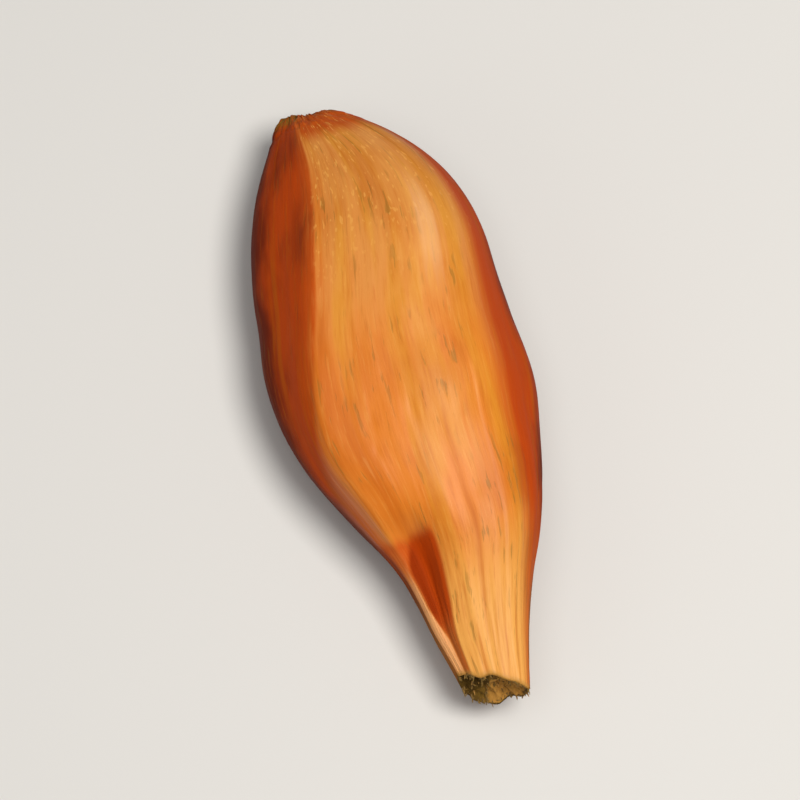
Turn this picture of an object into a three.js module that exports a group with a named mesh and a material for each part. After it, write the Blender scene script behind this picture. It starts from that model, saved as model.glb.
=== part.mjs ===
// A Parana pine nut: the seed of Araucaria angustifolia, lying on its back.
// Millimetres, +Z up. The seed lies along Y: the wide end points to +Y, and the
// narrow end, which was fixed to the cone, points to -Y. It rests on a small flat spot.
// The shell is a skin over ten ridge lines that run from end to end.
import * as THREE from "three";

// Driving dimensions
const LENGTH = 50.5; // from the scar at the narrow end to the crest at the wide end
const HALF_WIDTH = 10.3; // the widest reach to either side of the axis
const THICKNESS = 14.9; // from the lowest to the highest point of the shell
const CREST_LEFT = -3.3; // the wide end closes in a blunt crest, from here
const CREST_RIGHT = 0.7; // to here in x
const CREST_LOW = 6.9; // and from this height
const CREST_HIGH = 8; // to this one, above the flat spot
const DOME = 15.4; // the stretch over which the wide end closes
const DOME_SIDE_POWER = 0.86; // the sides leave the crest nearly straight, as on a wedge
const DOME_TOP_POWER = 0.6; // the front face turns over to the crest in a short steep band
const DOME_BACK_POWER = 0.8; // the back runs up to it more evenly
const SCAR_SLANT = 2.8; // the left of the scar is this much further in than its right
const SCAR_LIP = 0.2; // the share of that slant which is left at the bottom of the scar
const SCAR_DEPTH = 0.8; // how far the torn end is hollowed
const SCAR_FIBRE = 0.14; // height of the torn fibres across the scar
const SCAR_RAGGED = 0.16; // how ragged the rim of the scar is
const NIB_LENGTH = 0.55; // what is left of the scale's spine, at the left end of the crest
const NIB_REACH = 1.5; // how far the foot of the nib spreads
const RIB_HEIGHT = 0.15; // ribs that fan out from the narrow end
const WAVE_HEIGHT = 0.15; // slow waves all over the shell
const SINK = 0.26; // how far the round underside is flattened

// Shallow dents in the front face: x, distance from the wide end, reach and depth
const DENTS = [
  { x: 2.2, distance: 32.4, reach: 2.4, depth: 0.3 },
  { x: 6.2, distance: 30.4, reach: 1.8, depth: 0.16 },
  { x: -1.5, distance: 12.4, reach: 3.5, depth: 0.14 },
];

// Mesh density
const RINGS = 55;
const STEPS_PER_RIDGE = 9;
const SCAR_RINGS = 5;
const CREST_CROWDING = 0.12; // rings stand closer together near the crest

// Outline along the seed. Distances are from the wide end, sizes are shares of the
// half width (sides, from the axis) or of the thickness (heights, from the flat spot).
const OUTLINE_AT = [0, 8.2, 15.5, 20.6, 25.8, 30, 34, 38, 42.2, 46.4, 50.5];
const LEFT_SIDE = [-0.9, -0.91, -0.95, -1, -0.95, -0.83, -0.64, -0.44, -0.34, -0.29, -0.21];
const RIGHT_SIDE = [1, 1, 0.97, 0.97, 1, 0.94, 0.86, 0.72, 0.54, 0.4, 0.29];
const TOP = [0.93, 0.97, 1, 0.995, 0.97, 0.93, 0.875, 0.81, 0.74, 0.675, 0.62];
const BOTTOM = [0.03, 0.022, 0.01, 0.002, 0, 0.022, 0.08, 0.155, 0.225, 0.28, 0.315];

// The ridge lines, in turn round the seed from the right-hand edge over the front face.
// Across runs from -1 at the left outline to 1 at the right one, and up from 0 at the
// bottom to 1 at the top. Round is the share of each neighbouring side that a ridge's
// rounding takes: 0.5 is a soft swell, and less is a clearer edge.
const RIDGE_AT = [0, 6.2, 18.5, 27.8, 34.4, 37.6, 42.2, 50.5];
const RIDGES = [
  {
    name: "right edge",
    round: 0.36,
    across: [1.06, 1.06, 1.06, 1.06, 1.06, 1.06, 1.05, 1.04],
    up: [0.5, 0.5, 0.48, 0.48, 0.5, 0.52, 0.55, 0.58],
  },
  {
    name: "right shoulder of the front face",
    round: 0.4,
    across: [0.85, 0.88, 0.84, 0.76, 0.8, 0.85, 0.9, 0.92],
    up: [0.88, 0.9, 0.92, 0.93, 0.92, 0.92, 0.93, 0.94],
  },
  {
    name: "crown of the front face",
    round: 0.5,
    across: [0.3, 0.42, 0.3, 0.2, 0.16, 0.18, 0.18, 0.16],
    up: [1.03, 1.04, 1.04, 1.03, 1.02, 1.03, 1.03, 1.03],
  },
  {
    name: "right side of the groove, within the front face further up",
    round: 0.34,
    across: [0.06, 0.16, 0.01, -0.13, -0.27, -0.37, -0.46, -0.59],
    up: [1.03, 1.03, 1.02, 1.01, 0.99, 0.97, 0.98, 0.97],
  },
  {
    name: "bottom of the groove, within the front face further up",
    round: 0.42,
    across: [-0.17, -0.1, -0.28, -0.46, -0.55, -0.64, -0.7, -0.74],
    up: [1.03, 1.02, 1.005, 0.98, 0.955, 0.71, 0.68, 0.82],
  },
  {
    name: "left shoulder of the front face, then the rim beside the groove",
    round: 0.3,
    across: [-0.4, -0.36, -0.56, -0.78, -0.85, -0.9, -0.89, -0.86],
    up: [1.02, 1.01, 0.99, 0.95, 0.9, 0.79, 0.76, 0.78],
  },
  {
    name: "left edge",
    round: 0.34,
    across: [-1.08, -1.08, -1.08, -1.08, -1.08, -1.08, -1.06, -1.05],
    up: [0.52, 0.52, 0.51, 0.51, 0.5, 0.48, 0.48, 0.52],
  },
  {
    name: "lower left ridge",
    round: 0.45,
    across: [-0.62, -0.62, -0.64, -0.68, -0.74, -0.78, -0.78, -0.76],
    up: [0.1, 0.1, 0.08, 0.08, 0.09, 0.1, 0.1, 0.1],
  },
  {
    name: "keel of the back",
    round: 0.5,
    across: [0, 0, 0.02, 0, 0, 0, 0, 0],
    up: [-0.04, -0.04, -0.03, -0.03, -0.04, -0.04, -0.04, -0.04],
  },
  {
    name: "lower right ridge",
    round: 0.45,
    across: [0.64, 0.64, 0.66, 0.68, 0.7, 0.72, 0.74, 0.76],
    up: [0.1, 0.1, 0.08, 0.08, 0.09, 0.1, 0.1, 0.1],
  },
];
const COLUMNS = RIDGES.length * STEPS_PER_RIDGE;

const { clamp, lerp, smoothstep } = THREE.MathUtils;

// A smooth curve through a row of values, read at one distance from the wide end.
function follow(stations, values, distance) {
  const last = stations.length - 1;
  const at = clamp(distance, stations[0], stations[last]);
  let i = 0;
  while (i < last - 1 && at > stations[i + 1]) i += 1;
  const slope = (k) => {
    const before = Math.max(k - 1, 0);
    const after = Math.min(k + 1, last);
    return (values[after] - values[before]) / (stations[after] - stations[before]);
  };
  const span = stations[i + 1] - stations[i];
  const t = (at - stations[i]) / span;
  const fromStart = (1 + 2 * t) * (1 - t) ** 2 * values[i] + t * (1 - t) ** 2 * span * slope(i);
  const fromEnd = t * t * (3 - 2 * t) * values[i + 1] - t * t * (1 - t) * span * slope(i + 1);
  return fromStart + fromEnd;
}

// How far the wide end has opened at a distance from its crest, from 0 to 1.
function opening(distance, power) {
  const left = Math.max(0, 1 - distance / DOME);
  return (1 - left * left) ** power;
}

// The outline at one distance: left and right in x, bottom and top in z.
function outline(distance) {
  const side = (row) => HALF_WIDTH * follow(OUTLINE_AT, row, distance);
  const height = (row) => THICKNESS * follow(OUTLINE_AT, row, distance);
  const wide = opening(distance, DOME_SIDE_POWER);
  return {
    left: lerp(CREST_LEFT, side(LEFT_SIDE), wide),
    right: lerp(CREST_RIGHT, side(RIGHT_SIDE), wide),
    bottom: lerp(CREST_LOW, height(BOTTOM), opening(distance, DOME_BACK_POWER)),
    top: lerp(CREST_HIGH, height(TOP), opening(distance, DOME_TOP_POWER)),
  };
}

// A point of the section in shares of the outline, by its column round the seed.
function sectionShare(distance, column) {
  const corner = (k) => {
    const ridge = RIDGES[(k + RIDGES.length) % RIDGES.length];
    const across = follow(RIDGE_AT, ridge.across, distance);
    return new THREE.Vector2(across, follow(RIDGE_AT, ridge.up, distance));
  };
  const k = Math.floor(column / STEPS_PER_RIDGE);
  const step = (column % STEPS_PER_RIDGE) / STEPS_PER_RIDGE;
  const here = corner(k);
  const { round } = RIDGES[k];
  const nextRound = RIDGES[(k + 1) % RIDGES.length].round;
  const start = here.clone().lerp(corner(k - 1), round);
  const end = here.clone().lerp(corner(k + 1), round);
  const nextStart = corner(k + 1).lerp(here, nextRound);
  const curved = 0.7; // this share of a ridge's steps lies on its rounding
  if (step > curved) return end.lerp(nextStart, (step - curved) / (1 - curved));
  const t = step / curved;
  return start.lerp(here, t).lerp(here.clone().lerp(end, t), t);
}

// Relief on the shell, outwards, by the angle round the seed and the distance along it.
function relief(angle, distance) {
  const fan = smoothstep(distance, 20, 39) * (1 - 0.5 * smoothstep(distance, 44, LENGTH));
  const back = 0.3 + 0.7 * smoothstep(-Math.sin(angle), -0.75, 0.1);
  const ribs = 0.6 * Math.cos(11 * angle + 0.8) + 0.4 * Math.cos(17 * angle + 2.1 + distance * 0.03);
  const waves =
    Math.sin(distance * 0.31 + 2 * angle + 0.6) * 0.5 +
    Math.sin(distance * 0.19 - 3 * angle + 2.4) * 0.35 +
    Math.sin(distance * 0.55 + angle - 1.1) * 0.15;
  const body = smoothstep(distance, 0, 7) * (1 - smoothstep(distance, 41, LENGTH));
  return RIB_HEIGHT * fan * back * ribs + WAVE_HEIGHT * body * waves;
}

// How deep the dents go at a point of the front face.
function dented(x, distance, share) {
  let depth = 0;
  for (const dent of DENTS) {
    const away = Math.hypot(x - dent.x, (distance - dent.distance) * 0.6) / dent.reach;
    depth += dent.depth * Math.exp(-away * away);
  }
  return depth * smoothstep(share.y, 0.6, 0.85);
}

// One point of the shell. The tip leans: its left side ends sooner than its right.
function shellPoint(distance, column) {
  const { left, right, bottom, top } = outline(distance);
  const share = sectionShare(distance, column);
  const angle = Math.atan2(2 * share.y - 1, share.x);
  const out = relief(angle, distance);
  const x = (left + right) / 2 + ((right - left) / 2) * share.x + out * Math.cos(angle);
  const z = lerp(bottom, top, share.y) + out * Math.sin(angle) - dented(x, distance, share);
  const nearTip = smoothstep(distance, 37, LENGTH);
  const slant = SCAR_SLANT * lerp(SCAR_LIP, 1, clamp(share.y, 0, 1));
  const lean = slant * nearTip * clamp(0.5 - share.x / 2, 0, 1);
  const ragged = SCAR_RAGGED * nearTip ** 6 * (Math.sin(5 * angle + 1) + 0.6 * Math.sin(9 * angle));
  const fromNib = Math.hypot(x - CREST_LEFT - 0.6, (z - (CREST_LOW + CREST_HIGH) / 2) * 1.3);
  const nib = NIB_LENGTH * Math.exp(-((fromNib / NIB_REACH) ** 2));
  return new THREE.Vector3(x, LENGTH / 2 - distance + lean + ragged + nib, z);
}

// The mean of a ring of points.
function middleOf(ring) {
  const middle = new THREE.Vector3();
  for (const point of ring) middle.addScaledVector(point, 1 / ring.length);
  return middle;
}

// One point of the torn end: the rim drawn in towards the middle, hollowed and fibrous.
function scarPoint(rim, centre, share) {
  const point = rim.clone().lerp(centre, share);
  const angle = Math.atan2(rim.z - centre.z, rim.x - centre.x);
  const hollow = SCAR_DEPTH * Math.sin((Math.min(share * 1.7, 1) * Math.PI) / 2);
  const stub = 0.55 * SCAR_DEPTH * smoothstep(share, 0.6, 1);
  const fibres = SCAR_FIBRE * Math.sin(7 * angle + 6 * share) * Math.sin(Math.PI * share);
  point.y += hollow - stub + fibres;
  return point;
}

// The whole skin: the middle of the crest, rings to the tip, rings over the scar, its middle.
function shellGeometry() {
  const rings = [];
  const spread = Math.hypot(1, CREST_CROWDING) - CREST_CROWDING;
  for (let i = 0; i <= RINGS; i += 1) {
    const distance = (LENGTH * (Math.hypot(i / RINGS, CREST_CROWDING) - CREST_CROWDING)) / spread;
    rings.push(Array.from({ length: COLUMNS }, (_, column) => shellPoint(distance, column)));
  }
  const rim = rings[RINGS];
  const centre = middleOf(rim);
  for (let i = 1; i < SCAR_RINGS; i += 1) {
    rings.push(rim.map((point) => scarPoint(point, centre, i / SCAR_RINGS)));
  }
  const crest = middleOf(rings[0]);
  const points = [crest, ...rings.flat(), scarPoint(centre, centre, 1)];

  const index = [];
  const at = (ring, column) => 1 + ring * COLUMNS + (column % COLUMNS);
  for (let column = 0; column < COLUMNS; column += 1) {
    index.push(0, at(0, column + 1), at(0, column));
    index.push(points.length - 1, at(rings.length - 1, column), at(rings.length - 1, column + 1));
    for (let ring = 0; ring < rings.length - 1; ring += 1) {
      const [a, b] = [at(ring, column), at(ring, column + 1)];
      const [c, d] = [at(ring + 1, column), at(ring + 1, column + 1)];
      index.push(a, b, c, b, d, c);
    }
  }
  const geometry = new THREE.BufferGeometry().setFromPoints(points);
  geometry.setIndex(index);
  return geometry;
}

// The underside is pressed flat where the seed rests, and the box is centred on the origin.
function settle(geometry) {
  const position = geometry.getAttribute("position");
  geometry.computeBoundingBox();
  const { min, max } = geometry.boundingBox;
  const floor = min.z + SINK;
  for (let i = 0; i < position.count; i += 1) {
    const x = position.getX(i) - (min.x + max.x) / 2;
    const y = position.getY(i) - (min.y + max.y) / 2;
    position.setXYZ(i, x, y, Math.max(position.getZ(i) - floor, 0));
  }
  geometry.computeVertexNormals();
  return geometry;
}

const shell = new THREE.MeshStandardMaterial({
  name: "shell",
  color: new THREE.Color(0xd3843c),
  roughness: 0.45,
  metalness: 0,
});
const nut = new THREE.Mesh(settle(shellGeometry()), shell);
nut.name = "nut";

const group = new THREE.Group();
group.add(nut);

export default group;
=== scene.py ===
"""Dresses a Parana pine nut: its streaked shell, the torn fibres at its narrow end, and the stage.

Metres, Z up. The nut lies on its back along Y, its wide end towards +Y and its narrow,
torn end towards -Y. The shell follows the same formula as the solid, in millimetres,
with finer relief.
"""

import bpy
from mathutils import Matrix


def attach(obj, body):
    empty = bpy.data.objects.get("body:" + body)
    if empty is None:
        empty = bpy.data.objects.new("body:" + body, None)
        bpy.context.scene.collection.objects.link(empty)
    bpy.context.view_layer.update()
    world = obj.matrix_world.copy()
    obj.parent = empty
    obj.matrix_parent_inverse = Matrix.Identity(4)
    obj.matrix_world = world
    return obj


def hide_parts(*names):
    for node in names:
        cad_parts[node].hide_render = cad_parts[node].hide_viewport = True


bl_info = {
    "name": "Parana Pine Nut",
    "version": (1, 0, 0),
    "blender": (4, 5, 0),
    "location": "View3D > Sidebar > Nut",
    "description": "Builds a Parana pine nut with a streaked shell and a torn tip",
    "category": "Add Mesh",
}

import math
from types import SimpleNamespace

import bpy
import numpy as np
from bpy.props import FloatProperty, FloatVectorProperty, IntProperty, PointerProperty
from mathutils import Matrix, Vector

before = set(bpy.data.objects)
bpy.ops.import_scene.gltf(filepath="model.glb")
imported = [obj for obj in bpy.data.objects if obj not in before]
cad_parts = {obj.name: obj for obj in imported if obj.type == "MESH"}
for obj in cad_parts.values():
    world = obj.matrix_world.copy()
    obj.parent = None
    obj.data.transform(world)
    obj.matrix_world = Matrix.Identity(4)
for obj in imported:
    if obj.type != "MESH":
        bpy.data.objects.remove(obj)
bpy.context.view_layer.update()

MM = 0.001

# How the wide end closes
CREST_LEFT, CREST_RIGHT = -3.3, 0.7
CREST_LOW, CREST_HIGH = 6.9, 8.0
DOME = 15.4
DOME_SIDE_POWER, DOME_TOP_POWER, DOME_BACK_POWER = 0.86, 0.6, 0.8
NIB_LENGTH, NIB_REACH = 0.55, 1.5
CREST_CROWDING = 0.12

# The torn end: how far it slants, hollows and frays, and the stub that is left in its middle
SCAR_SLANT, SCAR_LIP, SCAR_DEPTH, SCAR_RAGGED = 2.8, 0.2, 0.8, 0.16
SCAR_STUB = 0.55

# The fibres on it: their rings, how flat and how tapered they are, how they sway, and their roots
FIBRE_SIDES, FIBRE_STEPS = 5, 5
FIBRE_FLATNESS, FIBRE_TAPER, FIBRE_SWAY = 0.6, 0.6, 0.12
ROOT_INSET, ROOT_DEPTH = 0.06, 0.12

# Relief that the solid has too
RIB_HEIGHT, WAVE_HEIGHT, SINK = 0.15, 0.15, 0.26
# Shallow dents in the front face: x, distance from the wide end, reach and depth
DENTS = [(2.2, 32.4, 2.4, 0.3), (6.2, 30.4, 1.8, 0.16), (-1.5, 12.4, 3.5, 0.14)]
# Small nicks all over the shell: how many, and the least and most of reach and depth
NICKS = 46
NICK_REACH = (0.25, 0.6)
NICK_DEPTH = (0.02, 0.06)

# Outline along the seed, at distances from the wide end
OUTLINE_AT = [0, 8.2, 15.5, 20.6, 25.8, 30, 34, 38, 42.2, 46.4, 50.5]
LEFT_SIDE = [-0.9, -0.91, -0.95, -1, -0.95, -0.83, -0.64, -0.44, -0.34, -0.29, -0.21]
RIGHT_SIDE = [1, 1, 0.97, 0.97, 1, 0.94, 0.86, 0.72, 0.54, 0.4, 0.29]
TOP = [0.93, 0.97, 1, 0.995, 0.97, 0.93, 0.875, 0.81, 0.74, 0.675, 0.62]
BOTTOM = [0.03, 0.022, 0.01, 0.002, 0, 0.022, 0.08, 0.155, 0.225, 0.28, 0.315]
WIDEST_AT = 22
SCAR_AT = OUTLINE_AT[-1]

# Ridge lines in turn round the seed: rounding, then across and up at each distance
RIDGE_AT = [0, 6.2, 18.5, 27.8, 34.4, 37.6, 42.2, 50.5]
RIGHT_EDGE = (
    0.36,
    [1.06, 1.06, 1.06, 1.06, 1.06, 1.06, 1.05, 1.04],
    [0.5, 0.5, 0.48, 0.48, 0.5, 0.52, 0.55, 0.58],
)
RIGHT_SHOULDER = (
    0.4,
    [0.85, 0.88, 0.84, 0.76, 0.8, 0.85, 0.9, 0.92],
    [0.88, 0.9, 0.92, 0.93, 0.92, 0.92, 0.93, 0.94],
)
CROWN = (
    0.5,
    [0.3, 0.42, 0.3, 0.2, 0.16, 0.18, 0.18, 0.16],
    [1.03, 1.04, 1.04, 1.03, 1.02, 1.03, 1.03, 1.03],
)
GROOVE_RIGHT = (
    0.34,
    [0.06, 0.16, 0.01, -0.13, -0.27, -0.37, -0.46, -0.59],
    [1.03, 1.03, 1.02, 1.01, 0.99, 0.97, 0.98, 0.97],
)
GROOVE = (
    0.42,
    [-0.17, -0.1, -0.28, -0.46, -0.55, -0.64, -0.7, -0.74],
    [1.03, 1.02, 1.005, 0.98, 0.955, 0.71, 0.68, 0.82],
)
LEFT_SHOULDER = (
    0.3,
    [-0.4, -0.36, -0.56, -0.78, -0.85, -0.9, -0.89, -0.86],
    [1.02, 1.01, 0.99, 0.95, 0.9, 0.79, 0.76, 0.78],
)
LEFT_EDGE = (
    0.34,
    [-1.08, -1.08, -1.08, -1.08, -1.08, -1.08, -1.06, -1.05],
    [0.52, 0.52, 0.51, 0.51, 0.5, 0.48, 0.48, 0.52],
)
LOWER_LEFT = (
    0.45,
    [-0.62, -0.62, -0.64, -0.68, -0.74, -0.78, -0.78, -0.76],
    [0.1, 0.1, 0.08, 0.08, 0.09, 0.1, 0.1, 0.1],
)
KEEL = (
    0.5,
    [0, 0, 0.02, 0, 0, 0, 0, 0],
    [-0.04, -0.04, -0.03, -0.03, -0.04, -0.04, -0.04, -0.04],
)
LOWER_RIGHT = (
    0.45,
    [0.64, 0.64, 0.66, 0.68, 0.7, 0.72, 0.74, 0.76],
    [0.1, 0.1, 0.08, 0.08, 0.09, 0.1, 0.1, 0.1],
)
RIDGES = [
    RIGHT_EDGE,
    RIGHT_SHOULDER,
    CROWN,
    GROOVE_RIGHT,
    GROOVE,
    LEFT_SHOULDER,
    LEFT_EDGE,
    LOWER_LEFT,
    KEEL,
    LOWER_RIGHT,
]
CURVED = 0.7  # this share of a ridge's steps lies on its rounding

# The grain is laid out on a cylinder of this radius, and runs this much deeper into the scar
GRAIN_RADIUS = 9
GRAIN_DEPTH = 3

# The stage, in metres
NUT_MIDDLE = Vector((-0.0004, 0.0, 0.0074))
FLOOR_REACH = 1.5
FLOOR_GAP = 0.00002
ROOM_LIGHT = 0.12
SENSOR_WIDTH = 36
FARTHEST_SEEN = 20


def linear(red, green, blue):
    """A colour given as it looks on a screen, 0 to 255, as Blender's own numbers."""
    parts = [value / 255 for value in (red, green, blue)]
    return tuple(p / 12.92 if p <= 0.04045 else ((p + 0.055) / 1.055) ** 2.4 for p in parts)


def colour(name, description, shade):
    return FloatVectorProperty(
        name=name,
        description=description,
        subtype="COLOR",
        size=3,
        min=0,
        max=1,
        default=linear(*shade),
    )


def length(name, description, millimetres):
    return FloatProperty(
        name=name,
        description=description,
        default=millimetres * MM,
        min=0,
        subtype="DISTANCE",
        unit="LENGTH",
    )


class NutShellSettings(bpy.types.PropertyGroup):
    """Sizes and colours of the shell."""

    length: length("Length", "From the scar to the crest of the wide end", 50.5)
    half_width: length("Half width", "The widest reach to either side of the axis", 10.3)
    thickness: length("Thickness", "From the back of the shell to its front face", 14.9)
    streak_height: length("Streak height", "Relief of the fine streaks along the shell", 0.035)
    rings: IntProperty(name="Rings", description="Rings from end to end", default=232, min=40)
    steps: IntProperty(name="Steps", description="Steps from ridge to ridge", default=36, min=8)
    scar_rings: IntProperty(name="Scar rings", description="Rings over the scar", default=34, min=4)
    tan: colour("Tan", "The upper part of the front face", (214, 139, 66))
    orange: colour("Orange", "The lower part of the front face", (218, 124, 40))
    ochre: colour("Ochre", "Deep streaks at the left of the front face", (196, 96, 16))
    # Red-brown also paints the shade in the groove beside the tip.
    red_brown: colour("Red-brown", "The flanks and the back", (186, 66, 6))
    gold: colour("Gold", "Broad yellowish streaks on the front face", (212, 142, 40))
    streak: colour("Streaks", "Fine darker streaks along the shell", (182, 88, 12))
    # Pale also paints highlights on the rim beside the groove and on the crown.
    pale: colour("Pale", "The tip beside the scar and the worn ridges", (230, 164, 80))
    # A painted highlight: the palest tone, on the crown and on the rim beside the groove.
    painted_highlight: colour("Bleached", "The most worn places of the front face", (242, 186, 130))
    # Dark: painted shade on the flanks towards their sides and on the groove's wall.
    dark: colour("Dark", "The sides of the flanks", (102, 26, 3))
    olive: colour("Olive", "The woody crest and the rim of the scar", (128, 98, 34))
    torn: colour("Torn", "The torn wood of the scar", (104, 76, 32))


class NutFibreSettings(bpy.types.PropertyGroup):
    """The torn fibres at the narrow end."""

    count: IntProperty(name="Fibres", description="How many fibres stand out", default=230, min=0)
    longest: length("Longest", "Length of the longest fibre", 0.38)
    thickest: length("Thickest", "Radius of the thickest fibre at its root", 0.11)


class NutStageSettings(bpy.types.PropertyGroup):
    """The camera, the lights and the floor."""

    floor: colour("Floor", "The pale floor", (218, 216, 212))
    lens: FloatProperty(name="Lens", description="Focal length in mm", default=200, min=10)
    elevation: FloatProperty(
        name="Elevation",
        description="Height of the camera above the horizon",
        subtype="ANGLE",
        default=math.radians(75),
    )
    roll: FloatProperty(
        name="Roll",
        description="How far the nut leans in the picture",
        subtype="ANGLE",
        default=math.radians(16.4),
    )
    view_height: length("View height", "Height of what the camera sees at the nut", 64.0)


def lerp(a, b, t):
    return a + (b - a) * t


def smoothstep(value, low, high):
    t = np.clip((value - low) / (high - low), 0, 1)
    return t * t * (3 - 2 * t)


def bell(value, centre, reach):
    return np.exp(-(((value - centre) / reach) ** 2))


def follow(stations, values, distance):
    """A smooth curve through a row of values, read at distances from the wide end."""
    x, y = np.asarray(stations, float), np.asarray(values, float)
    at = np.clip(distance, x[0], x[-1])
    i = np.clip(np.searchsorted(x, at, side="left") - 1, 0, len(x) - 2)
    k = np.arange(len(x))
    before, after = np.maximum(k - 1, 0), np.minimum(k + 1, len(x) - 1)
    slope = (y[after] - y[before]) / (x[after] - x[before])
    span = x[i + 1] - x[i]
    t = (at - x[i]) / span
    from_start = (1 + 2 * t) * (1 - t) ** 2 * y[i] + t * (1 - t) ** 2 * span * slope[i]
    return from_start + t * t * (3 - 2 * t) * y[i + 1] - t * t * (1 - t) * span * slope[i + 1]


def opening(distance, power):
    """How far the wide end has opened at a distance from its crest."""
    left = np.maximum(0, 1 - distance / DOME)
    return (1 - left * left) ** power


def outline(distance, sizes):
    """Left and right in x, bottom and top in z, at each distance."""
    sides = [sizes["half_width"] * follow(OUTLINE_AT, row, distance) for row in (LEFT_SIDE, RIGHT_SIDE)]
    heights = [sizes["thickness"] * follow(OUTLINE_AT, row, distance) for row in (BOTTOM, TOP)]
    wide = opening(distance, DOME_SIDE_POWER)
    return (
        lerp(CREST_LEFT, sides[0], wide),
        lerp(CREST_RIGHT, sides[1], wide),
        lerp(CREST_LOW, heights[0], opening(distance, DOME_BACK_POWER)),
        lerp(CREST_HIGH, heights[1], opening(distance, DOME_TOP_POWER)),
    )


def section(distance, steps):
    """Points of each section in shares of the outline, and their place in the row of ridges."""
    corners = [
        np.stack([follow(RIDGE_AT, across, distance), follow(RIDGE_AT, up, distance)], -1)
        for _, across, up in RIDGES
    ]
    points, places = [], []
    for k, here in enumerate(corners):
        following = (k + 1) % len(RIDGES)
        start = lerp(here, corners[k - 1], RIDGES[k][0])
        end = lerp(here, corners[following], RIDGES[k][0])
        next_start = lerp(corners[following], here, RIDGES[following][0])
        for j in range(steps):
            step = j / steps
            t = step / CURVED
            if step > CURVED:
                points.append(lerp(end, next_start, (step - CURVED) / (1 - CURVED)))
            else:
                points.append(lerp(lerp(start, here, t), lerp(here, end, t), t))
            places.append(k + step - CURVED / 2)
    return np.stack(points, 1), np.array(places)


def relief(angle, distance):
    """Ribs and slow waves, outwards, as on the solid."""
    fan = smoothstep(distance, 20, 39) * (1 - 0.5 * smoothstep(distance, 44, SCAR_AT))
    back = 0.3 + 0.7 * smoothstep(-np.sin(angle), -0.75, 0.1)
    ribs = 0.6 * np.cos(11 * angle + 0.8) + 0.4 * np.cos(17 * angle + 2.1 + distance * 0.03)
    waves = (
        np.sin(distance * 0.31 + 2 * angle + 0.6) * 0.5
        + np.sin(distance * 0.19 - 3 * angle + 2.4) * 0.35
        + np.sin(distance * 0.55 + angle - 1.1) * 0.15
    )
    body = smoothstep(distance, 0, 7) * (1 - smoothstep(distance, 41, SCAR_AT))
    return RIB_HEIGHT * fan * back * ribs + WAVE_HEIGHT * body * waves


def dented(x, distance, up):
    """Depth of the shallow dents, longer than they are wide, on the front face alone."""
    depth = 0
    for across, along, reach, deep in DENTS:
        depth = depth + deep * np.exp(-((np.hypot(x - across, (distance - along) * 0.6) / reach) ** 2))
    return depth * smoothstep(up, 0.6, 0.85)


def ripple(around, along, cells_round, cells_long, seed):
    """Smooth noise from -1 to 1, without a seam round the nut. Both places run from 0 to 1."""
    grid = np.random.default_rng(seed).uniform(-1, 1, (cells_round, cells_long + 2))
    u, v = around * cells_round, np.clip(along, 0, 1) * cells_long
    column, row = np.floor(u).astype(int), np.floor(v).astype(int)
    s, t = (w * w * (3 - 2 * w) for w in (u - column, v - row))
    column, beside = column % cells_round, (column + 1) % cells_round
    return lerp(
        lerp(grid[column, row], grid[beside, row], s),
        lerp(grid[column, row + 1], grid[beside, row + 1], s),
        t,
    )


def shell_grid(sizes, rings, steps):
    """The skin from the crest to the rim of the scar, in rows of points, with what each point needs."""
    spread = np.hypot(1, CREST_CROWDING) - CREST_CROWDING
    share = np.arange(rings + 1) / rings
    distance = sizes["length"] * (np.hypot(share, CREST_CROWDING) - CREST_CROWDING) / spread
    left, right, bottom, top = (row[:, None] for row in outline(distance, sizes))
    shares, place = section(distance, steps)
    across, up = shares[..., 0], shares[..., 1]
    distance = distance[:, None]
    angle = np.arctan2(2 * up - 1, across)
    out = relief(angle, distance)
    x = (left + right) / 2 + (right - left) / 2 * across + out * np.cos(angle)
    z = lerp(bottom, top, up) + out * np.sin(angle) - dented(x, distance, up)
    near_tip = smoothstep(distance, 37, sizes["length"])
    slant = SCAR_SLANT * lerp(SCAR_LIP, 1, np.clip(up, 0, 1))
    lean = slant * near_tip * np.clip(0.5 - across / 2, 0, 1)
    ragged = SCAR_RAGGED * near_tip**6 * (np.sin(5 * angle + 1) + 0.6 * np.sin(9 * angle))
    from_nib = np.hypot(x - CREST_LEFT - 0.6, (z - (CREST_LOW + CREST_HIGH) / 2) * 1.3)
    nib = NIB_LENGTH * np.exp(-((from_nib / NIB_REACH) ** 2))
    points = np.stack([x, sizes["length"] / 2 - distance + lean + ragged + nib, z], -1)
    return points, np.broadcast_to(distance, x.shape), np.broadcast_to(place, x.shape)


def grid_normals(points):
    """Outward normals of rows of points that close round the nut."""
    along = np.gradient(points, axis=0)
    around = np.roll(points, -1, 1) - np.roll(points, 1, 1)
    normals = np.cross(around, along)
    return normals / np.maximum(np.linalg.norm(normals, axis=-1, keepdims=True), 1e-9)


def even_turn(points, distance):
    """Where each column lies round the nut, from 0 to 1, as measured along the widest ring."""
    ring = points[np.abs(distance[:, 0] - WIDEST_AT).argmin()]
    steps = np.linalg.norm(np.roll(ring, -1, 0) - ring, axis=1)
    return (np.cumsum(steps) - steps) / steps.sum()


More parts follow.
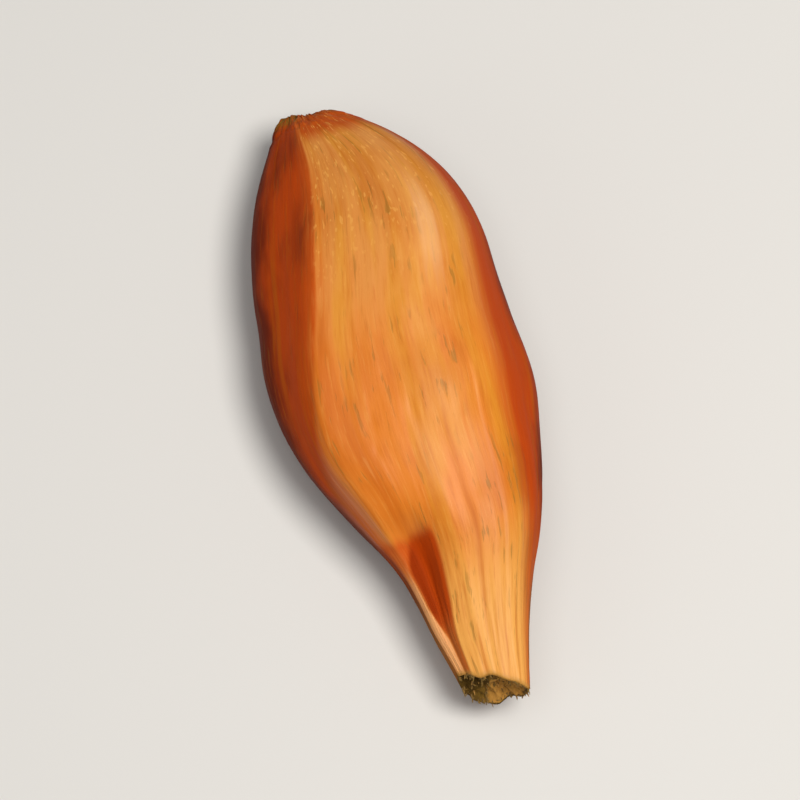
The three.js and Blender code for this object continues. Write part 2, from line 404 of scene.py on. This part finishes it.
def fine_relief(points, distance, height):
    """Streaks that run from end to end, shallow lows, nicks, and the rough wood of the crest."""
    around = np.broadcast_to(even_turn(points, distance), distance.shape)
    along = distance / distance.max()
    tip = smoothstep(distance, 30, 46)
    streaks = (
        0.5 * ripple(around, along, 118, 7, 3)
        + 0.32 * ripple(around, along, 190, 13, 5)
        + 0.18 * ripple(around, along, 61, 5, 8)
    )
    lows = 0.07 * ripple(around, along, 17, 9, 11) + 0.04 * ripple(around, along, 31, 18, 12)
    crest = 1 - smoothstep(distance, 0.2, 2.6)
    rough = 0.12 * ripple(around, along, 64, 150, 21) + 0.09 * ripple(around, along, 120, 90, 22)
    out = height * (0.8 + 0.9 * tip) * streaks + lows * (1 - 0.6 * tip) + crest * rough
    draw = np.random.default_rng(31)
    clear = 12  # rings at either end without nicks
    for _ in range(NICKS):
        there = points[draw.integers(clear, len(points) - clear), draw.integers(0, points.shape[1])]
        reach, deep = draw.uniform(*NICK_REACH), draw.uniform(*NICK_DEPTH)
        away = (points - there) * (1, 0.45, 1)
        out = out - deep * np.exp(-(away**2).sum(-1) / reach**2)
    return points + grid_normals(points) * out[..., None]


def scar_rows(rim, rings):
    """The torn end: the rim drawn in to the middle, hollowed, with torn wood across it."""
    centre = rim.mean(0)
    share = (np.arange(1, rings) / rings)[:, None]
    angle = np.arctan2(rim[:, 2] - centre[2], rim[:, 0] - centre[0])[None]
    rows = lerp(rim[None], centre, share[..., None])
    hollow = SCAR_DEPTH * np.sin(np.minimum(share * 1.7, 1) * np.pi / 2)
    stub = SCAR_STUB * SCAR_DEPTH * smoothstep(share, 0.6, 1)
    around = (angle / (2 * np.pi)) % 1
    torn = 0.34 * ripple(around, share, 23, 6, 41) + 0.2 * ripple(around, share, 48, 13, 42)
    torn = torn + 0.1 * ripple(around, share, 90, 20, 43)
    rows[..., 1] += hollow - stub + torn * np.sin(np.pi * np.minimum(share * 1.3, 1) ** 0.7) * (1 - share**6)
    middle = centre + np.array([0, SCAR_DEPTH * (1 - SCAR_STUB), 0])
    return rows, middle


def shell_faces(rows, columns):
    """Quads over the rows, and a fan at either end. The rows lie between two end points."""
    column = np.arange(columns)
    beside = (column + 1) % columns
    at = 1 + np.arange(rows)[:, None] * columns
    quads = np.stack([at[:-1] + column, at[:-1] + beside, at[1:] + beside, at[1:] + column], -1)
    last = 1 + rows * columns
    crest = np.stack([np.zeros_like(column), 1 + beside, 1 + column], -1)
    middle = np.stack([np.full_like(column, last), at[-1] + column, at[-1] + beside], -1)
    return quads.reshape(-1, 4).tolist() + crest.tolist() + middle.tolist()


def add_mesh(name, points, faces):
    """A smooth mesh in the frame, from millimetres."""
    mesh = bpy.data.meshes.new(name)
    mesh.from_pydata((np.asarray(points) * MM).tolist(), [], faces)
    mesh.validate()
    mesh.polygons.foreach_set("use_smooth", [True] * len(mesh.polygons))
    mesh.update()
    piece = bpy.data.objects.new(name, mesh)
    bpy.context.scene.collection.objects.link(piece)
    return piece


def paint(mesh, name, kind, values):
    """Stores a value for each point, for the materials to read."""
    layer = mesh.attributes.new(name, kind, "POINT")
    field = "vector" if kind == "FLOAT_VECTOR" else "color"
    layer.data.foreach_set(field, np.ascontiguousarray(values, np.float32).ravel())


def settle(points):
    """Centres the nut and presses its back flat where it rests."""
    low, high = points.min(0), points.max(0)
    points = points - [(low[0] + high[0]) / 2, (low[1] + high[1]) / 2, low[2] + SINK]
    points[:, 2] = np.maximum(points[:, 2], 0)
    return points


class Nodes:
    """A short way to write a material's nodes."""

    def __init__(self, name):
        self.material = bpy.data.materials.new(name)
        self.material.use_nodes = True
        self.tree = self.material.node_tree
        self.tree.nodes.clear()
        self.column = 0

    def add(self, kind, inputs=(), **settings):
        made = self.tree.nodes.new(kind)
        made.location = (self.column * 180, 0)
        self.column += 1
        for key, value in settings.items():
            setattr(made, key, value)
        for key, value in dict(inputs).items():
            self.feed(made, key, value)
        return made

    def feed(self, made, key, value):
        socket = made.inputs[key]
        if isinstance(value, bpy.types.NodeSocket):
            self.tree.links.new(value, socket)
        elif isinstance(value, (tuple, list)) and socket.type == "RGBA" and len(value) == 3:
            socket.default_value = (*value, 1)
        else:
            socket.default_value = value

    def read(self, name):
        return self.add("ShaderNodeAttribute", attribute_name=name)

    def parts(self, name):
        made = self.add("ShaderNodeSeparateColor", {0: self.read(name).outputs["Color"]})
        return made.outputs[0], made.outputs[1], made.outputs[2]

    def stretch(self, vector, by):
        return self.add("ShaderNodeVectorMath", {0: vector, 1: by}, operation="MULTIPLY").outputs[0]

    def noise(self, vector, scale, detail=2.0, roughness=0.5, distortion=0.0):
        made = self.add(
            "ShaderNodeTexNoise",
            {
                "Vector": vector,
                "Scale": scale,
                "Detail": detail,
                "Roughness": roughness,
                "Distortion": distortion,
            },
        )
        return made.outputs[0]

    def between(self, value, low, high, start=0.0, end=1.0):
        made = self.add(
            "ShaderNodeMapRange",
            {"Value": value, "From Min": low, "From Max": high, "To Min": start, "To Max": end},
            interpolation_type="SMOOTHSTEP",
        )
        return made.outputs[0]

    def math(self, operation, a, b):
        return self.add("ShaderNodeMath", {0: a, 1: b}, operation=operation).outputs[0]

    def plus(self, a, b):
        return self.math("ADD", a, b)

    def minus(self, a, b):
        return self.math("SUBTRACT", a, b)

    def times(self, a, b):
        return self.math("MULTIPLY", a, b)

    def larger(self, a, b):
        return self.math("MAXIMUM", a, b)

    def mix(self, amount, a, b):
        made = self.add("ShaderNodeMix", {"Factor": amount}, data_type="RGBA")
        self.feed(made, 6, a)
        self.feed(made, 7, b)
        return made.outputs[2]

    def finish(self, shader):
        self.add("ShaderNodeOutputMaterial", {"Surface": shader})
        return self.material


def shell_facts(n):
    """The masks that are stored on the shell, the noises of its grain, and its marks and wood."""
    grain = n.read("grain").outputs["Vector"]
    m = SimpleNamespace()
    # zones: front face, worn ridges with painted highlights, painted shade in the groove
    m.front, m.wear, m.groove = n.parts("zones")
    m.tip, m.crest, m.scar = n.parts("ends")
    # sides: painted shade on the flanks and the scar's left, ochre streaks, painted shade on the groove's
    # wall
    m.under, m.ochre, m.wall = n.parts("sides")
    m.along = n.add("ShaderNodeSeparateXYZ", {0: grain}).outputs[2]
    m.threads = n.noise(n.stretch(grain, (1, 1, 0.09)), 3.4, 3, 0.62)
    m.bands = n.noise(n.stretch(grain, (1, 1, 0.07)), 0.85, 4, 0.6)
    m.wide = n.noise(n.stretch(grain, (1, 1, 0.12)), 0.42, 2, 0.5)
    m.dashes = n.noise(n.stretch(grain, (1, 1, 0.16)), 2.3, 2, 0.55)
    m.clouds = n.noise(n.stretch(grain, (1, 1, 0.5)), 0.22, 3, 0.55)
    m.flecks = n.noise(n.stretch(grain, (1, 1, 0.45)), 3.1, 1, 0.5)
    m.specks = n.noise(grain, 4.5, 2, 0.6)
    m.marks = n.times(n.between(m.dashes, 0.58, 0.68), n.between(m.clouds, 0.38, 0.6))
    m.woody = n.times(m.crest, n.between(m.specks, 0.3, 0.6))
    m.matte = n.larger(n.between(m.front, 0.0, 1.0, 1.0, 0.0), n.between(m.along, 2.0, 6.0, 1.0, 0.0))
    return m


def face_and_flanks(n, s, m):
    """Tan above and orange below on the front face, red-brown at its edges and on the flanks, painted shade
    as a red-brown band along the crest, and painted shade on the flanks towards their sides.
    """
    lower = n.between(n.plus(m.along, n.times(m.clouds, 16.0)), 20.0, 34.0)
    face = n.mix(lower, tuple(s.tan), tuple(s.orange))
    face = n.mix(n.between(m.wide, 0.46, 0.62, 0.0, 0.55), face, tuple(s.gold))
    face = n.mix(n.between(m.clouds, 0.4, 0.68, 0.0, 0.4), face, tuple(s.streak))
    deep_streaks = n.times(m.ochre, n.between(m.bands, 0.4, 0.6, 0.25, 0.85))
    face = n.mix(deep_streaks, face, tuple(s.ochre))
    # Painted shade: the flanks darken from red-brown towards their sides, over a cloudy random tone.
    shaded = n.plus(m.clouds, n.times(m.under, 0.42))
    flank = n.mix(n.between(shaded, 0.42, 0.86), tuple(s.red_brown), tuple(s.dark))
    edge = n.between(n.plus(m.front, n.times(m.bands, 0.5)), 0.4, 1.2)
    # Painted shade: a band of flank colour along the crest of the wide end, where the dome turns away from
    # the light.
    clear_of_crest_shade = n.between(n.plus(m.along, n.times(m.clouds, 2.0)), 2.6, 4.8)
    base = n.mix(n.times(edge, n.larger(clear_of_crest_shade, 0.12)), flank, face)
    return n.mix(n.between(m.tip, 0.0, 0.9, 0.0, 0.9), base, tuple(s.pale))


def streaks_and_dashes(n, s, m, base):
    """Dark bands and threads, pale threads and flecks on the front face, and olive dashes."""
    base = n.mix(n.between(m.bands, 0.52, 0.74, 0.0, 0.55), base, tuple(s.streak))
    base = n.mix(n.between(m.threads, 0.52, 0.74, 0.0, 0.32), base, tuple(s.streak))
    pale_threads = n.times(m.front, n.between(m.threads, 0.46, 0.3, 0.0, 0.2))
    base = n.mix(pale_threads, base, tuple(s.pale))
    pale_flecks = n.times(n.between(m.flecks, 0.62, 0.7), n.between(m.along, 9.0, 20.0, 0.6, 0.0))
    base = n.mix(n.times(pale_flecks, m.front), base, tuple(s.pale))
    return n.mix(n.times(m.marks, n.between(m.front, 0.0, 1.0, 0.16, 0.5)), base, tuple(s.olive))


def groove_shade_wear_and_highlights(n, s, m, base):
    """Painted shade in the groove beside the tip and on its wall, the pale worn ridges, and painted
    highlights on the rim and the crown.
    """
    # Painted shade: the groove beside the tip in red-brown, and its wall, where the key light falls,
    # darkened to match.
    base = n.mix(n.times(m.groove, 0.9), base, tuple(s.red_brown))
    base = n.mix(n.times(m.wall, 0.6), base, tuple(s.dark))
    # Pale worn ridges, and painted highlights on the rim and down the crown.
    worn = n.times(m.wear, n.between(m.threads, 0.3, 0.62, 1.0, 0.3))
    base = n.mix(n.times(worn, 0.6), base, tuple(s.pale))
    # Painted highlight: the palest tone where the highlights are strongest.
    streaky = n.plus(n.times(m.bands, 0.9), n.times(m.threads, 0.6))
    highlight_amount = n.between(n.plus(m.wear, streaky), 1.15, 1.95, 0.0, 0.6)
    return n.mix(highlight_amount, base, tuple(s.painted_highlight))


def scar_wood(n, s, m):
    """Torn wood with pale threads, with painted light on its right and painted shade, nearly black, on its
    left.
    """
    wood = n.mix(n.between(m.specks, 0.35, 0.65), tuple(s.torn), tuple(s.olive))
    wood = n.mix(n.between(m.threads, 0.56, 0.72, 0.0, 0.5), wood, tuple(s.pale))
    # Painted light on the scar's right, away from its shaded left.
    wood = n.mix(n.between(m.under, 0.0, 0.5, 0.45, 0.0), wood, tuple(s.pale))
    shadow = tuple(value * 0.25 for value in s.torn)
    return n.mix(n.times(m.under, 0.75), wood, shadow)


def shell_material(s):
    """Streaked shell: tan and orange front, red-brown flanks, pale tip, olive crest, dark scar, with painted
    shade and painted highlights.
    """
    n = Nodes("streaked_shell")
    m = shell_facts(n)
    base = face_and_flanks(n, s, m)
    base = streaks_and_dashes(n, s, m, base)
    base = groove_shade_wear_and_highlights(n, s, m, base)
    base = n.mix(m.woody, base, tuple(s.olive))
    base = n.mix(m.scar, base, scar_wood(n, s, m))
    dull = n.larger(m.scar, n.larger(m.woody, m.matte))
    rough = n.plus(n.between(m.bands, 0.3, 0.75, 0.34, 0.5), n.times(dull, 0.35))
    height = n.plus(n.times(m.threads, 0.5), n.times(m.bands, 0.5))
    height = n.minus(height, n.times(m.marks, 0.4))
    height = n.plus(height, n.times(m.specks, 0.12))
    bump = n.add("ShaderNodeBump", {"Height": height, "Strength": 0.5, "Distance": 0.00012})
    shader = n.add(
        "ShaderNodeBsdfPrincipled",
        {
            "Base Color": base,
            "Roughness": rough,
            "Normal": bump.outputs[0],
            "Specular IOR Level": 0.14,
            "Specular Tint": (1.0, 0.62, 0.36, 1.0),
            "Coat Weight": n.between(m.matte, 0.0, 1.0, 0.24, 0.0),
            "Coat Roughness": 0.36,
            "Coat IOR": 1.4,
        },
    )
    return n.finish(shader.outputs[0])


def fibre_material(s):
    """Torn wood fibres: dark at the root, olive towards the end, and some of them pale."""
    n = Nodes("torn_fibres")
    along, paleness, _ = n.parts("along")
    spots = n.noise(n.add("ShaderNodeTexCoord").outputs["Object"], 2500.0, 2, 0.6)
    base = n.mix(n.between(along, 0.0, 0.9), tuple(s.torn), tuple(s.olive))
    base = n.mix(n.times(n.between(paleness, 0.7, 1.0), 0.45), base, tuple(s.pale))
    base = n.mix(n.between(spots, 0.45, 0.7, 0.0, 0.5), base, tuple(s.torn))
    rough = n.between(spots, 0.3, 0.7, 0.7, 0.9)
    bump = n.add("ShaderNodeBump", {"Height": spots, "Strength": 0.4, "Distance": 0.00005})
    shader = n.add(
        "ShaderNodeBsdfPrincipled",
        {"Base Color": base, "Roughness": rough, "Normal": bump.outputs[0]},
    )
    return n.finish(shader.outputs[0])


def floor_material(shade):
    """Matt pale floor with faint clouds."""
    n = Nodes("pale_floor")
    cloud = n.noise(n.add("ShaderNodeTexCoord").outputs["Object"], 14.0, 2, 0.5)
    soft = tuple(value * 0.985 for value in shade)
    shader = n.add(
        "ShaderNodeBsdfPrincipled",
        {"Base Color": n.mix(cloud, soft, tuple(shade)), "Roughness": 0.9, "Specular IOR Level": 0.2},
    )
    return n.finish(shader.outputs[0])


def shell_sizes(s):
    return {"length": s.length / MM, "half_width": s.half_width / MM, "thickness": s.thickness / MM}


def whole_shell(s):
    """All points of the shell in order, with the facts that its paint is made from."""
    points, distance, place = shell_grid(shell_sizes(s), s.rings, s.steps)
    turn = 2 * np.pi * even_turn(points, distance)
    points = fine_relief(points, distance, s.streak_height / MM)
    scar, middle = scar_rows(points[-1], s.scar_rings)
    crest = points[0].mean(0)
    everything = np.concatenate([crest[None], points.reshape(-1, 3), scar.reshape(-1, 3), middle[None]])
    return everything, distance, place, turn, len(scar)


def skin_masks(distance, place):
    """Where the front face, its worn ridges and painted highlights, the painted shade of the groove and the
    flanks, the tip, the crest and the rim of the scar lie.

    Places are counted in ridges: 1 is the right shoulder, 2 the crown, 3 and 4 the right side
    and the bottom of the groove, 5 the left shoulder and 6 the left edge.
    """
    late = smoothstep(distance, 35.9, 37.8)
    # Painted shade: near the wide end the flank colour reaches further onto the front face, beside the left
    # shoulder.
    inwards = 0.26 * (1 - smoothstep(distance, 18, 28))
    spread = 1.1 * smoothstep(distance, 25, 34) * (1 - smoothstep(distance, 35, 43))
    left_share = np.clip((place + inwards - 4.76) / (0.38 + spread), 0, 1)
    front = smoothstep(place, 0.6, 1.25) * (1 - smoothstep(left_share, 0, 1))
    front = front * (1 - late * smoothstep(place, 2.95, 3.2))
    # Painted shade on both flanks towards their sides and all over the back.
    under = np.maximum(smoothstep(place, 5.3, 6.2), 1 - smoothstep(place, -0.35, 0.6))
    # The rim beside the groove carries a painted highlight along its edge.
    rim_start = 3.9 + 0.9 * smoothstep(distance, 36, 40) * (1 - smoothstep(distance, 43, 47.5))
    rim = smoothstep(place, rim_start, rim_start + 0.35) * (1 - smoothstep(place, 5.3, 5.7))
    rim = rim * (0.45 + 0.55 * smoothstep(distance, 38, 42))
    wear = 0.3 * bell(place, 4.8, 0.2) * (1 - late) + late * (rim + 0.4 * bell(place, 1, 0.2))
    # Painted highlight: a pale streak down the right of the crown.
    wear = wear + 0.9 * bell(place, 1.74, 0.3) * bell(distance, 13.5, 7.5)
    # Painted shade in the groove beside the tip.
    groove = late * smoothstep(place, 2.95, 3.2) * (1 - smoothstep(place, rim_start - 0.05, rim_start + 0.3))
    groove = groove * (1 - 0.8 * smoothstep(distance, 43.5, 47.5))
    left_strip = smoothstep(place + inwards, 4.3, 4.76) * smoothstep(distance, 4, 9)
    lower_left = smoothstep(place, 3.2, 4.2) * smoothstep(distance, 19, 26)
    ochre = np.clip(0.75 * left_strip + 0.6 * lower_left, 0, 1) * (1 - smoothstep(distance, 35, 38))
    return {
        "zones": (front, np.clip(wear, 0, 1), groove),
        "ends": (
            smoothstep(distance, 33, 48) * (0.35 + 0.65 * front),
            (1 - smoothstep(distance, 0.1, 1.0)) * (1 - 0.8 * front),
            smoothstep(distance, SCAR_AT - 0.6, SCAR_AT),
        ),
        "sides": (
            under,
            ochre,
            # painted shade on the groove's wall
            groove * smoothstep(place, 3.8, 4.3),
        ),
    }


def shell_paint(distance, place, turn, scar_count):
    """The masks and the grain for all points of the shell: crest, skin, scar and its middle."""
    inner = scar_count * distance.shape[1]
    scar = {name: np.tile([0.0, 0.0, 0.0, 1.0], (inner + 1, 1)) for name in ("zones", "ends", "sides")}
    scar["ends"][:, 2] = 1
    # Painted shade on the scar's left side.
    scar["sides"][:-1, 0] = np.tile(smoothstep(-np.cos(turn), -0.4, 0.8), scar_count)
    masks = {}
    for name, parts in skin_masks(distance, place).items():
        skin = np.stack([*parts, np.ones(distance.shape)], -1)
        masks[name] = np.concatenate([skin[0].mean(0)[None], skin.reshape(-1, 4), scar[name]])

    across, up = GRAIN_RADIUS * np.cos(turn), GRAIN_RADIUS * np.sin(turn)
    share = (np.arange(1, scar_count + 1) / (scar_count + 1))[:, None]
    deeper = SCAR_AT + GRAIN_DEPTH * share
    skin = np.stack(np.broadcast_arrays(across, up, distance), -1)
    torn = np.stack(np.broadcast_arrays(across * (1 - share), up * (1 - share), deeper), -1)
    crest, middle = [[0, 0, -1.0]], [[0, 0, SCAR_AT + GRAIN_DEPTH]]
    grain = np.concatenate([crest, skin.reshape(-1, 3), torn.reshape(-1, 3), middle])
    return grain, masks


class NUT_OT_shell(bpy.types.Operator):
    """Builds the shell, with its ridges, streaks, crest and scar"""

    bl_idname = "nut.shell"
    bl_label = "Shell"

    def execute(self, context):
        s = context.scene.nut_shell
        points, distance, place, turn, scar_count = whole_shell(s)
        points = settle(points)
        faces = shell_faces(len(distance) + scar_count, distance.shape[1])
        shell = add_mesh("shell", points, faces)
        grain, masks = shell_paint(distance, place, turn, scar_count)
        paint(shell.data, "grain", "FLOAT_VECTOR", grain)
        for name, values in masks.items():
            paint(shell.data, name, "FLOAT_COLOR", values)
        shell.data.materials.append(shell_material(s))
        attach(shell, "root")
        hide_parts("nut")
        return {"FINISHED"}


def one_fibre(root, way, reach, radius, bend):
    """A bent strand that tapers to a blunt end: rings of points from its root to its tip."""
    side = np.cross(way, [0, 0, 1.0])
    side /= np.linalg.norm(side)
    over = np.cross(side, way)
    turn = 2 * np.pi * np.arange(FIBRE_SIDES) / FIBRE_SIDES
    ring = np.cos(turn)[:, None] * side + np.sin(turn)[:, None] * over * FIBRE_FLATNESS
    rings = []
    for j in range(FIBRE_STEPS):
        t = j / FIBRE_STEPS
        rings.append(root + way * reach * t + bend * t * t + radius * (1 - FIBRE_TAPER * t * t) * ring)
    return np.concatenate([*rings, (root + way * reach + bend)[None]])


def fibre_faces(first):
    """The root's cap, the quads round the strand, and the fan at its tip."""
    around = range(FIBRE_SIDES)
    beside = [(i + 1) % FIBRE_SIDES for i in around]
    faces = [[first + i for i in reversed(around)]]
    for j in range(FIBRE_STEPS - 1):
        here = first + j * FIBRE_SIDES
        above = here + FIBRE_SIDES
        faces += [[here + i, here + k, above + k, above + i] for i, k in zip(around, beside)]
    last = first + FIBRE_STEPS * FIBRE_SIDES
    return faces + [[last - FIBRE_SIDES + i, last - FIBRE_SIDES + k, last] for i, k in zip(around, beside)]


def drawn_fibre(draw, root, centre, f):
    """A strand that leaves the scar at a point of it, with the shade of its wood."""
    outward = root - centre
    outward[1] = 0
    outward /= max(np.linalg.norm(outward), 1e-6)
    root = root - outward * ROOT_INSET + [0, ROOT_DEPTH, 0]
    way = np.array([0, -1.0, 0]) + outward * draw.uniform(-0.25, 0.3) + draw.normal(0, FIBRE_SWAY, 3)
    way /= np.linalg.norm(way)
    reach = f.longest / MM * draw.uniform(0.25, 1) ** 1.5 + ROOT_DEPTH
    radius = f.thickest / MM * draw.uniform(0.45, 1)
    strand = one_fibre(root, way, reach, radius, draw.normal(0, FIBRE_SWAY, 3))
    along = np.append(np.repeat(np.arange(FIBRE_STEPS) / FIBRE_STEPS, FIBRE_SIDES), 1.0)
    blank = np.zeros_like(along)
    return strand, np.stack([along, blank + draw.uniform(0, 1), blank, blank + 1], -1)


class NUT_OT_fibres(bpy.types.Operator):
    """Stands short torn fibres on the rim of the scar and over it"""

    bl_idname = "nut.fibres"
    bl_label = "Scar fibres"

    def execute(self, context):
        s, f = context.scene.nut_shell, context.scene.nut_fibres
        everything, distance, _, _, _ = whole_shell(s)
        rows = settle(everything)[1:-1].reshape(-1, distance.shape[1], 3)
        scar = rows[len(distance) - 1 :]
        # Every other fibre stands on the outermost rows of the scar, and the rest further in
        rim, inside = (0, 3), (3, len(scar) - 6)
        draw = np.random.default_rng(77)
        strands, faces, shades = [], [], []
        for i in range(f.count):
            depth = draw.integers(*(rim if i % 2 else inside))
            root = scar[depth, draw.integers(0, scar.shape[1])]
            faces += fibre_faces(sum(map(len, strands)))
            strand, shade = drawn_fibre(draw, root, scar[0].mean(0), f)
            strands.append(strand)
            shades.append(shade)
        fibres = add_mesh("scar_fibres", np.concatenate(strands), faces)
        paint(fibres.data, "along", "FLOAT_COLOR", np.concatenate(shades))
        fibres.data.materials.append(fibre_material(s))
        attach(fibres, "root")
        return {"FINISHED"}


def add_light(name, place, size, power, shade):
    """A soft round lamp that faces the nut."""
    data = bpy.data.lights.new(name, "AREA")
    data.shape = "DISK"
    data.size = size
    data.energy = power
    data.color = shade
    lamp = bpy.data.objects.new(name, data)
    lamp.location = place
    lamp.rotation_euler = (NUT_MIDDLE - Vector(place)).to_track_quat("-Z", "Y").to_euler()
    bpy.context.scene.collection.objects.link(lamp)
    return lamp


def add_floor(shade):
    """A square floor just below the nut."""
    corners = [(x * FLOOR_REACH, y * FLOOR_REACH, 0) for x, y in ((-1, -1), (1, -1), (1, 1), (-1, 1))]
    mesh = bpy.data.meshes.new("floor")
    mesh.from_pydata(corners, [], [(0, 1, 2, 3)])
    mesh.materials.append(floor_material(shade))
    floor = bpy.data.objects.new("floor", mesh)
    floor.location.z = -FLOOR_GAP
    bpy.context.scene.collection.objects.link(floor)
    return floor


def add_camera(s):
    """A long lens that looks at the nut from the front and well above it."""
    data = bpy.data.cameras.new("camera")
    data.lens = s.lens
    data.sensor_width = SENSOR_WIDTH
    data.clip_end = FARTHEST_SEEN
    camera = bpy.data.objects.new("camera", data)
    away = s.view_height * s.lens / SENSOR_WIDTH
    back = Vector((0, -math.cos(s.elevation), math.sin(s.elevation)))
    look = (-back).to_track_quat("-Z", "Y").to_matrix()
    turned = look @ Matrix.Rotation(-s.roll, 3, "Z")
    camera.matrix_world = Matrix.Translation(NUT_MIDDLE + back * away) @ turned.to_4x4()
    bpy.context.scene.collection.objects.link(camera)
    return camera


class NUT_OT_stage(bpy.types.Operator):
    """Lays the pale floor, hangs the soft lights and sets the camera"""

    bl_idname = "nut.stage"
    bl_label = "Stage"

    def execute(self, context):
        scene, s = context.scene, context.scene.nut_stage
        floor = add_floor(tuple(s.floor))

        key = add_light("key", place=(0.11, -0.07, 0.38), size=0.14, power=1.2, shade=(1, 0.97, 0.93))
        fill = add_light("fill", place=(-0.34, -0.1, 0.26), size=0.34, power=0.12, shade=(1, 0.98, 0.96))
        top = add_light("top", place=(0.02, -0.05, 0.5), size=0.4, power=0.85, shade=(1, 1, 1))

        world = bpy.data.worlds.new("soft_room")
        world.use_nodes = True
        room = world.node_tree.nodes["Background"]
        room.inputs["Color"].default_value = (1, 1, 1, 1)
        room.inputs["Strength"].default_value = ROOM_LIGHT
        scene.world = world

        scene.camera = add_camera(s)
        scene.view_settings.view_transform = "Standard"
        return {"FINISHED"}


class NUT_PT_panel(bpy.types.Panel):
    """Lists the nut's pieces and the stage"""

    bl_idname = "NUT_PT_panel"
    bl_label = "Parana pine nut"
    bl_space_type = "VIEW_3D"
    bl_region_type = "UI"
    bl_category = "Nut"

    def draw(self, context):
        groups = [
            (context.scene.nut_shell, NUT_OT_shell),
            (context.scene.nut_fibres, NUT_OT_fibres),
            (context.scene.nut_stage, NUT_OT_stage),
        ]
        for settings, operator in groups:
            box = self.layout.box()
            for name in type(settings).__annotations__:
                box.prop(settings, name)
            box.operator(operator.bl_idname)


CLASSES = [
    NutShellSettings,
    NutFibreSettings,
    NutStageSettings,
    NUT_OT_shell,
    NUT_OT_fibres,
    NUT_OT_stage,
    NUT_PT_panel,
]


def register():
    for each in CLASSES:
        bpy.utils.register_class(each)
    bpy.types.Scene.nut_shell = PointerProperty(type=NutShellSettings)
    bpy.types.Scene.nut_fibres = PointerProperty(type=NutFibreSettings)
    bpy.types.Scene.nut_stage = PointerProperty(type=NutStageSettings)


def unregister():
    del bpy.types.Scene.nut_stage
    del bpy.types.Scene.nut_fibres
    del bpy.types.Scene.nut_shell
    for each in reversed(CLASSES):
        bpy.utils.unregister_class(each)


def main():
    register()
    bpy.ops.nut.shell()
    bpy.ops.nut.fibres()
    bpy.ops.nut.stage()


if __name__ == "__main__":
    main()
